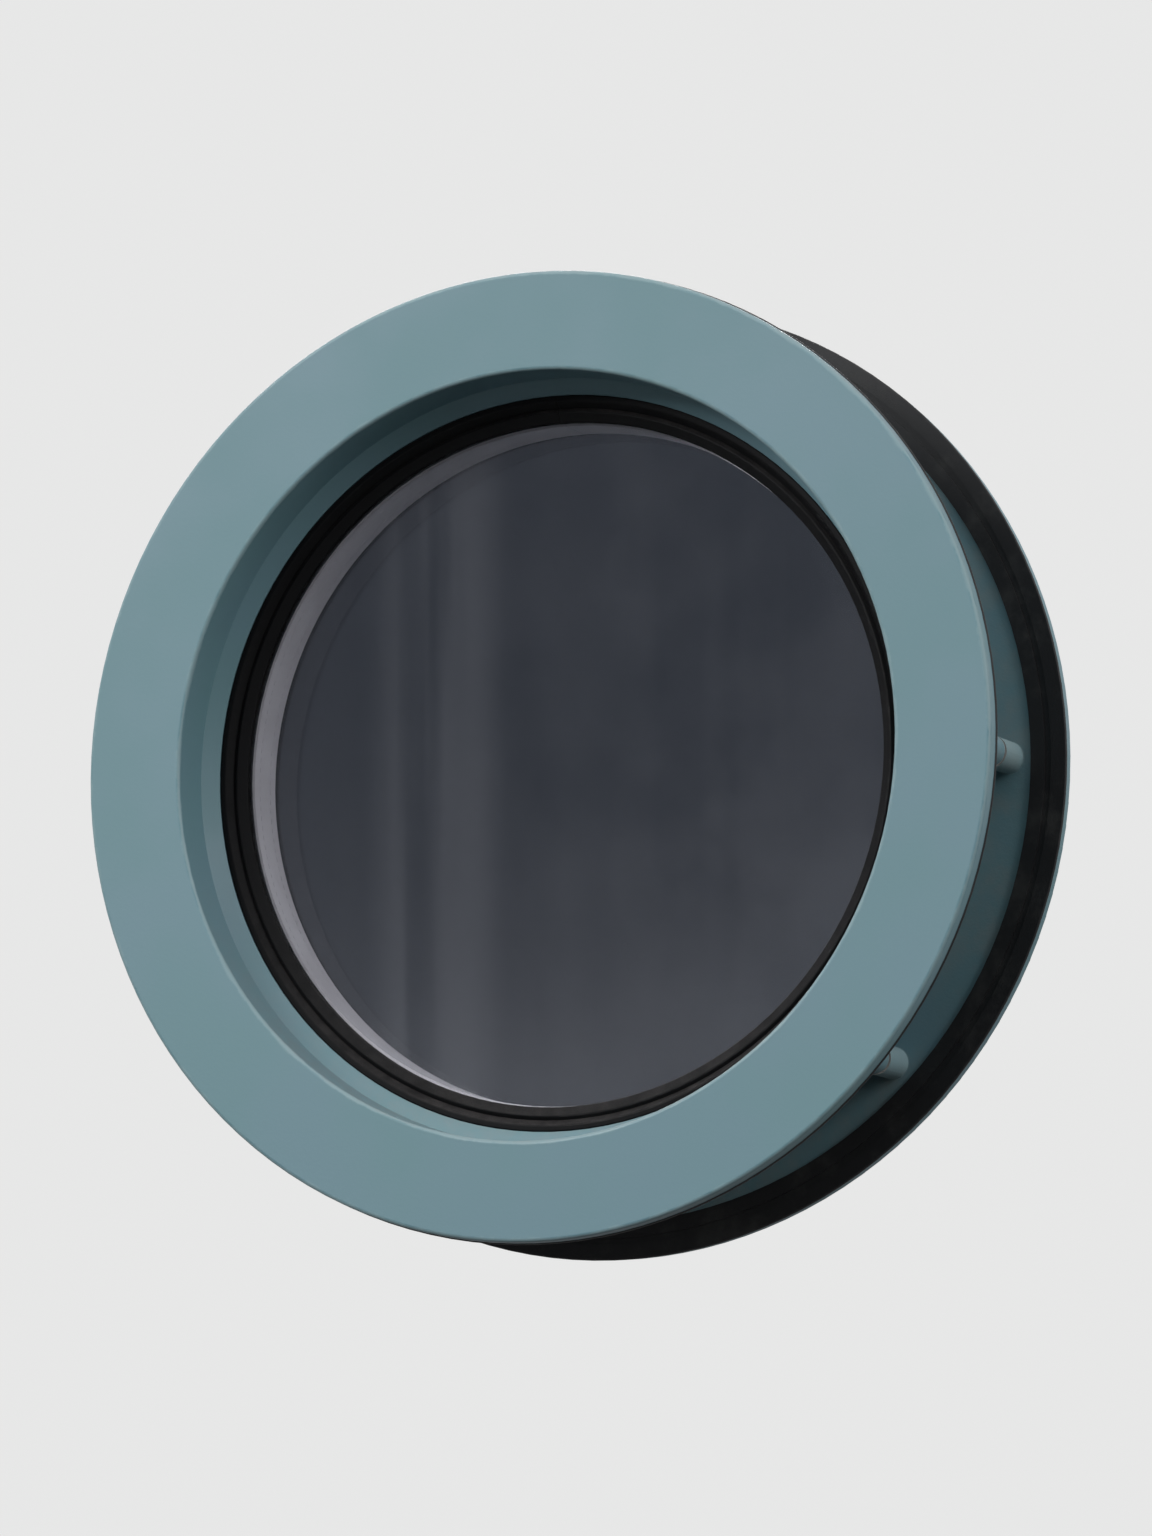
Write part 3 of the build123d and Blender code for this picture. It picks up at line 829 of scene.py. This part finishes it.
def on_screw_circle(tree, shape, circle, material):
    """A shape at each screw's place, turned there as the screwdriver left it, made real and smooth."""
    points = put(tree, "GeometryNodePoints", {"Count": SCREW_COUNT}).outputs[0]
    index = put(tree, "GeometryNodeInputIndex").outputs[0]
    angle = reckon(tree, "MULTIPLY", index, FULL_TURN / SCREW_COUNT)
    place = joined(
        tree,
        reckon(tree, "MULTIPLY", circle, reckon(tree, "COSINE", angle)),
        0.0,
        reckon(tree, "MULTIPLY", circle, reckon(tree, "SINE", angle)),
    )
    points = put(tree, "GeometryNodeSetPosition", {"Geometry": points, "Position": place}).outputs[0]
    inputs = {"ID": index, "Seed": SCREW_TURN_SEED}
    chance = put(tree, "FunctionNodeRandomValue", inputs, data_type="FLOAT")
    turn = reckon(tree, "MULTIPLY", chance.outputs[1], FULL_TURN)
    turned = put(tree, "FunctionNodeEulerToRotation", {0: joined(tree, 0.0, turn, 0.0)}).outputs[0]
    inputs = {"Points": points, "Instance": shape, "Rotation": turned}
    placed = put(tree, "GeometryNodeInstanceOnPoints", inputs).outputs[0]
    return finished(tree, placed, material)


def finished(tree, geometry, material):
    """The geometry made real, smooth but for its sharp edges, with its material."""
    real = put(tree, "GeometryNodeRealizeInstances", {"Geometry": geometry}).outputs[0]
    smooth = put(tree, "GeometryNodeSetShadeSmooth", {"Geometry": real, "Shade Smooth": True}).outputs[0]
    corner = put(tree, "GeometryNodeInputMeshEdgeAngle").outputs["Unsigned Angle"]
    inputs = {0: corner, 1: SHARP_EDGE}
    sharp = put(tree, "FunctionNodeCompare", inputs, operation="GREATER_THAN").outputs[0]
    inputs = {"Geometry": smooth, "Selection": sharp, "Shade Smooth": False}
    edged = put(tree, "GeometryNodeSetShadeSmooth", inputs, domain="EDGE").outputs[0]
    return put(tree, "GeometryNodeSetMaterial", {"Geometry": edged, "Material": material}).outputs[0]


def thread(tree, row, turn, origin, pitch, first, second, start, start_radius, end, end_radius, lead):
    """Radius of a screw thread's rows, four to a turn, and their length from the datum.

    The first radius lies on the pitch lines that begin at the origin, and the second between them.
    At its two ends the thread is drawn in to the radii given there.
    """
    lap = reckon(tree, "FLOOR", reckon(tree, "DIVIDE", row, ROWS_IN_A_TURN))
    phase = reckon(tree, "SUBTRACT", row, reckon(tree, "MULTIPLY", lap, ROWS_IN_A_TURN))
    share = picked(tree, phase, ROW_PLACES)
    laps = reckon(tree, "SUBTRACT", reckon(tree, "ADD", reckon(tree, "ADD", lap, share), turn), 1.0)
    raw = reckon(tree, "MULTIPLY_ADD", laps, pitch, origin)
    along = reckon(tree, "MINIMUM", reckon(tree, "MAXIMUM", raw, start), end)
    radius = picked(tree, phase, (first, first, second, second))
    for away, end_value in (
        (reckon(tree, "SUBTRACT", along, start), start_radius),
        (reckon(tree, "SUBTRACT", end, along), end_radius),
    ):
        clear = reckon(tree, "MINIMUM", reckon(tree, "DIVIDE", away, lead), 1.0)
        rise = reckon(tree, "SUBTRACT", radius, end_value)
        radius = reckon(tree, "MULTIPLY_ADD", rise, clear, end_value)
    return radius, along


def thread_rows(length, pitch):
    """The number of rows that cover a thread of the given length, with a turn to spare at each end."""
    return ROWS_IN_A_TURN * (math.ceil(length / pitch) + 2)


def make_screw_tree(sizes, rows):
    """Countersunk screws with hexagon sockets: socket, head, shank, thread and tip in one sheet."""
    tree, given, result = new_shape("socket_screws", sizes)
    sheet, row, turn = turned_sheet(tree, rows)
    sixth = reckon(tree, "FRACT", reckon(tree, "MULTIPLY", turn, 6.0))
    off = reckon(tree, "MULTIPLY", reckon(tree, "SUBTRACT", sixth, 0.5), FULL_TURN / 6)
    half_flats = reckon(tree, "DIVIDE", given["Socket Flats"], 2.0)
    hexagon = reckon(tree, "DIVIDE", half_flats, reckon(tree, "COSINE", off))
    mouth = reckon(tree, "MULTIPLY", half_flats, SOCKET_MOUTH_SHARE)
    crown = reckon(tree, "SUBTRACT", given["Head Radius"], HEAD_EDGE_WIDTH)
    neck = reckon(tree, "ADD", given["Shank Radius"], NECK_ROUND)
    cone = reckon(tree, "SUBTRACT", given["Head Radius"], given["Shank Radius"])
    cone_end = reckon(tree, "ADD", given["Head Land"], cone)
    root = reckon(tree, "SUBTRACT", given["Shank Radius"], given["Thread Depth"])
    tip = reckon(tree, "SUBTRACT", given["Shank Radius"], given["Tip Chamfer"])
    thread_radius, thread_along = thread(
        tree,
        reckon(tree, "SUBTRACT", row, ROWS_BEFORE_THREAD),
        turn,
        given["Thread Start"],
        given["Pitch"],
        given["Shank Radius"],
        root,
        given["Thread Start"],
        given["Shank Radius"],
        given["Length"],
        tip,
        given["Tip Chamfer"],
    )
    last = reckon(tree, "GREATER_THAN", row, rows - 1.5)
    section = reckon(tree, "ADD", reckon(tree, "MINIMUM", row, ROWS_BEFORE_THREAD), last)
    radii = (0.0, hexagon, hexagon, mouth, crown, given["Head Radius"], given["Head Radius"], neck)
    radius = picked(tree, section, radii + (given["Shank Radius"], thread_radius, 0.0))
    lengths = (
        reckon(tree, "ADD", given["Socket Depth"], DRILL_CONE_DEPTH),
        given["Socket Depth"],
        SOCKET_LEAD_IN,
        0.0,
        0.0,
        HEAD_EDGE_DEPTH,
        given["Head Land"],
        reckon(tree, "SUBTRACT", cone_end, NECK_ROUND),
        reckon(tree, "ADD", cone_end, NECK_LENGTH),
        thread_along,
        given["Length"],
    )
    along = picked(tree, section, lengths)
    shape = wrapped(tree, sheet, turn, radius, along, given["Datum"])
    tree.links.new(on_screw_circle(tree, shape, given["Circle"], screw_steel), result)
    return tree


def make_insert_tree(sizes, rows_inside, rows_outside):
    """Bushes with a screw thread inside, and a coarser one outside that holds them in the casting."""
    tree, given, result = new_shape("threaded_bushes", sizes)
    sheet, row, turn = turned_sheet(tree, rows_inside + rows_outside + 1)
    crest = reckon(tree, "SUBTRACT", given["Bore Radius"], given["Thread Depth"])
    mouth = reckon(tree, "ADD", given["Bore Radius"], given["Chamfer"])
    inner_radius, inner_along = thread(
        tree,
        row,
        turn,
        given["Thread Start"],
        given["Pitch"],
        given["Bore Radius"],
        crest,
        given["Start"],
        mouth,
        given["End"],
        mouth,
        given["Chamfer"],
    )
    shoulder = reckon(tree, "SUBTRACT", given["Radius"], given["Chamfer"])
    outer_radius, outer_back = thread(
        tree,
        reckon(tree, "SUBTRACT", row, rows_inside),
        reckon(tree, "SUBTRACT", 1.0, turn),
        given["Start"],
        given["Outer Pitch"],
        given["Radius"],
        reckon(tree, "SUBTRACT", given["Radius"], given["Outer Depth"]),
        given["Start"],
        shoulder,
        given["End"],
        shoulder,
        given["Chamfer"],
    )
    both_ends = reckon(tree, "ADD", given["Start"], given["End"])
    outer_along = reckon(tree, "SUBTRACT", both_ends, outer_back)
    outside = reckon(tree, "GREATER_THAN", row, rows_inside - 0.5)
    last = reckon(tree, "GREATER_THAN", row, rows_inside + rows_outside - 0.5)
    section = reckon(tree, "ADD", outside, last)
    radius = picked(tree, section, (inner_radius, outer_radius, mouth))
    along = picked(tree, section, (inner_along, outer_along, given["Start"]))
    shape = wrapped(tree, sheet, turn, radius, along, given["Datum"])
    shape = put(tree, "GeometryNodeFlipFaces", {"Mesh": shape}).outputs[0]
    tree.links.new(on_screw_circle(tree, shape, given["Circle"], insert_brass), result)
    return tree


def make_vent_tree(sizes):
    """Two rows of slots through the inner wall of the spacer bar, which let the drying beads breathe."""
    tree, given, result = new_shape("vented_bar", sizes)
    points = put(tree, "GeometryNodePoints", {"Count": 2 * VENT_COUNT}).outputs[0]
    index = put(tree, "GeometryNodeInputIndex").outputs[0]
    pair = reckon(tree, "FLOOR", reckon(tree, "DIVIDE", index, 2.0))
    side = reckon(tree, "SUBTRACT", index, reckon(tree, "MULTIPLY_ADD", pair, 2.0, 0.5))
    angle = reckon(tree, "MULTIPLY", reckon(tree, "ADD", pair, 0.5), FULL_TURN / VENT_COUNT)
    place = joined(
        tree,
        reckon(tree, "MULTIPLY", given["Radius"], reckon(tree, "COSINE", angle)),
        reckon(tree, "MULTIPLY_ADD", side, given["Row Distance"], given["Middle"]),
        reckon(tree, "MULTIPLY", given["Radius"], reckon(tree, "SINE", angle)),
    )
    points = put(tree, "GeometryNodeSetPosition", {"Geometry": points, "Position": place}).outputs[0]
    size = joined(tree, given["Depth"], given["Width"], given["Length"])
    slot = put(tree, "GeometryNodeMeshCube", {"Size": size}).outputs["Mesh"]
    turned = joined(tree, 0.0, reckon(tree, "MULTIPLY", angle, -1.0), 0.0)
    turned = put(tree, "FunctionNodeEulerToRotation", {0: turned}).outputs[0]
    inputs = {"Points": points, "Instance": slot, "Rotation": turned}
    slots = put(tree, "GeometryNodeInstanceOnPoints", inputs).outputs[0]
    slots = put(tree, "GeometryNodeRealizeInstances", {"Geometry": slots}).outputs[0]
    inputs = {"Mesh 1": given["Geometry"], "Mesh 2": slots}
    cut = put(tree, "GeometryNodeMeshBoolean", inputs, operation="DIFFERENCE", solver="EXACT")
    tree.links.new(finished(tree, cut.outputs["Mesh"], spacer_aluminium), result)
    return tree


def merged_copy(name):
    """A copy of a solid's mesh with its loose triangles joined."""
    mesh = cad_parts[name].data.copy()
    mesh.materials.clear()
    shape = bmesh.new()
    shape.from_mesh(mesh)
    bmesh.ops.remove_doubles(shape, verts=shape.verts, dist=SAME_CORNER)
    shape.to_mesh(mesh)
    shape.free()
    return mesh


def stand_in(piece, node):
    """Puts a finished piece in the place of a solid."""
    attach(piece, "root")
    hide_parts(node)


def add_screws():
    """The eight screws, seen from indoors by their heads."""
    length = inner_face - screw_tip
    sizes = {
        "Datum": inner_face,
        "Circle": screw_circle,
        "Length": length,
        "Head Radius": SCREW_HEAD_RADIUS,
        "Head Land": SCREW_HEAD_LAND,
        "Shank Radius": SCREW_RADIUS,
        "Thread Start": length - SCREW_THREAD_LENGTH,
        "Pitch": THREAD_PITCH,
        "Thread Depth": THREAD_DEPTH,
        "Tip Chamfer": SCREW_TIP_CHAMFER,
        "Socket Flats": SOCKET_FLATS,
        "Socket Depth": SOCKET_DEPTH,
    }
    rows = ROWS_BEFORE_THREAD + thread_rows(SCREW_THREAD_LENGTH, THREAD_PITCH) + 1
    tree = make_screw_tree(sizes, rows)
    piece = grown("socket_screws", tree, sizes, screw_steel)
    stand_in(piece, "frame_screws")


def add_inserts():
    """The eight bushes that the screws bite in. Their thread is the screws' own, drawn on."""
    screw_thread = inner_face - screw_tip - SCREW_THREAD_LENGTH
    start = inner_face - end_of("threaded_inserts")
    end = inner_face - start_of("threaded_inserts")
    origin = screw_thread + THREAD_PITCH * math.floor((start - screw_thread) / THREAD_PITCH)
    sizes = {
        "Datum": inner_face,
        "Circle": screw_circle,
        "Start": start,
        "End": end,
        "Radius": INSERT_RADIUS,
        "Chamfer": INSERT_CHAMFER,
        "Outer Pitch": INSERT_PITCH,
        "Outer Depth": INSERT_THREAD_DEPTH,
        "Bore Radius": SCREW_RADIUS + THREAD_CLEARANCE,
        "Thread Start": origin,
        "Pitch": THREAD_PITCH,
        "Thread Depth": THREAD_DEPTH,
    }
    inside = thread_rows(end - origin, THREAD_PITCH)
    outside = thread_rows(end - start, INSERT_PITCH)
    tree = make_insert_tree(sizes, inside, outside)
    piece = grown("threaded_bushes", tree, sizes, insert_brass)
    stand_in(piece, "threaded_inserts")


def add_spacer():
    """The spacer bar with its two rows of vents."""
    sizes = {
        "Radius": spacer_inner + SPACER_WALL / 2,
        "Middle": (spacer_start + spacer_end) / 2,
        "Row Distance": VENT_ROW_DISTANCE,
        "Length": VENT_LENGTH,
        "Width": VENT_WIDTH,
        "Depth": 2 * SPACER_WALL,
    }
    tree = make_vent_tree(sizes)
    piece = grown("vented_spacer", tree, sizes, spacer_aluminium, merged_copy("spacer_bar"))
    stand_in(piece, "spacer_bar")


def add_dust_film():
    """The film of dust on the outdoor glass, inside the gasket's edge, which also carries a band of
    painted reflection.
    """
    shape = bmesh.new()
    bmesh.ops.create_cone(
        shape,
        cap_ends=True,
        segments=FILM_SEGMENTS,
        radius1=sight_radius - FILM_GAP,
        radius2=sight_radius - FILM_GAP,
        depth=FILM_THICKNESS,
    )
    bmesh.ops.rotate(shape, verts=shape.verts, matrix=Matrix.Rotation(QUARTER_TURN, 3, "X"))
    middle = pane_front - FILM_GAP - FILM_THICKNESS / 2
    bmesh.ops.translate(shape, verts=shape.verts, vec=(0.0, middle, 0.0))
    mesh = bpy.data.meshes.new("pane_dust_and_reflection")
    shape.to_mesh(mesh)
    shape.free()
    mesh.materials.append(pane_dust_and_reflection)
    piece = bpy.data.objects.new("pane_dust_and_reflection", mesh)
    bpy.context.scene.collection.objects.link(piece)
    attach(piece, "root")


add_screws()
add_inserts()
add_spacer()
add_dust_film()


# Stage: floor, light and camera

FLOOR_DROP = 0.6
FLOOR_SIZE = 40.0
FLOOR_NEAR = 1.5
FLOOR_FAR = 7.0
NO_LIGHT = (0.0, 0.0, 0.0, 1.0)
BACKGROUND = (0.800, 0.802, 0.800, 1.0)
STUDIO_DIM = (0.175, 0.190, 0.240, 1.0)
SKY_TOP = (0.800, 0.810, 0.830, 1.0)
SKY_LEVEL = (0.200, 0.200, 0.200, 1.0)
SKY_BELOW = (0.040, 0.040, 0.040, 1.0)


def seen(tree):
    """1 for rays that show the stage, directly or through glass, and 1 for those that mirror it."""
    path = put(tree, "ShaderNodeLightPath").outputs
    unlit = reckon(tree, "SUBTRACT", 1.0, reckon(tree, "MINIMUM", path["Diffuse Depth"], 1.0))
    bounced = reckon(tree, "MINIMUM", path["Glossy Depth"], 1.0)
    mirrored = reckon(tree, "MAXIMUM", path["Is Glossy Ray"], bounced)
    direct = reckon(tree, "SUBTRACT", 1.0, mirrored)
    shown = reckon(tree, "MAXIMUM", path["Is Camera Ray"], path["Is Transmission Ray"])
    shown = reckon(tree, "MULTIPLY", shown, direct)
    return reckon(tree, "MULTIPLY", shown, unlit), reckon(tree, "MULTIPLY", mirrored, unlit)


def make_world():
    """Soft light from above, on a pale background. What the glass mirrors in front of it is dimmer."""
    world = bpy.data.worlds.new("soft_studio")
    bpy.context.scene.world = world
    world.use_nodes = True
    tree = world.node_tree
    direction = put(tree, "ShaderNodeTexCoord").outputs["Generated"]
    _, y, z = split(tree, direction)
    light = blend(tree, eased(tree, z, 0.0, 0.9), SKY_LEVEL, SKY_TOP)
    light = blend(tree, eased(tree, z, 0.02, -0.1), light, SKY_BELOW)
    mirrored = blend(tree, eased(tree, y, -0.3, 0.2), STUDIO_DIM, BACKGROUND)
    mirrored = blend(tree, eased(tree, z, 0.35, 0.8), mirrored, SKY_TOP)
    shown, glossy = seen(tree)
    colour = blend(tree, shown, light, BACKGROUND)
    colour = blend(tree, glossy, colour, mirrored)
    tree.links.new(colour, tree.nodes["Background"].inputs["Color"])


def make_floor():
    """A pale floor that throws little light up under the window, and far off meets the background."""
    bpy.ops.mesh.primitive_plane_add(size=FLOOR_SIZE, location=(0.0, 0.0, -FLOOR_DROP))
    floor = bpy.context.object
    floor.name = "floor"
    material, tree, shader, place = new_material(
        "floor_paint",
        Specular_IOR_Level=0.0,
        Emission_Strength=1.0,
    )
    shown, glossy = seen(tree)
    colour = blend(tree, glossy, FLOOR_SHADE, FLOOR_MIRRORED)
    colour = blend(tree, shown, colour, FLOOR_PALE)
    away = put(tree, "ShaderNodeVectorMath", {0: place}, operation="LENGTH").outputs["Value"]
    far = reckon(tree, "MULTIPLY", eased(tree, away, FLOOR_NEAR, FLOOR_FAR), shown)
    tree.links.new(blend(tree, far, colour, NO_LIGHT), shader.inputs["Base Color"])
    tree.links.new(blend(tree, far, NO_LIGHT, BACKGROUND), shader.inputs["Emission Color"])
    floor.data.materials.append(material)


def add_lamp(name, place, size, power):
    """A square soft lamp that looks at the window."""
    lamp = bpy.data.lights.new(name, "AREA")
    lamp.shape = "SQUARE"
    lamp.size = size
    lamp.energy = power
    holder = bpy.data.objects.new(name, lamp)
    holder.location = place
    holder.rotation_euler = (-Vector(place)).to_track_quat("-Z", "Y").to_euler()
    bpy.context.scene.collection.objects.link(holder)


VIEW_AZIMUTH = math.radians(23.0)
VIEW_ELEVATION = math.radians(-8.0)
VIEW_DISTANCE = 2.8
VIEW_LENS = 212.0


def make_camera():
    """The photograph's view: from the right and a little below, from nearly three metres away."""
    data = bpy.data.cameras.new("camera")
    data.lens = VIEW_LENS
    camera = bpy.data.objects.new("camera", data)
    bpy.context.scene.collection.objects.link(camera)
    back = Vector((
        math.sin(VIEW_AZIMUTH) * math.cos(VIEW_ELEVATION),
        -math.cos(VIEW_AZIMUTH) * math.cos(VIEW_ELEVATION),
        math.sin(VIEW_ELEVATION),
    ))
    middle = (solid_box[0] + solid_box[1]) / 2
    camera.location = middle + back * VIEW_DISTANCE
    camera.rotation_euler = (-back).to_track_quat("-Z", "Y").to_euler()
    bpy.context.scene.camera = camera


make_world()
make_floor()
add_lamp("key_lamp", (-3.9, -5.7, 3.45), size=3.1, power=372.0)
add_lamp("side_lamp", (6.0, -1.65, 2.4), size=3.0, power=145.0)
add_lamp("back_lamp", (-2.85, 5.85, 3.6), size=3.0, power=365.0)
make_camera()
bpy.context.scene.view_settings.view_transform = "Standard"
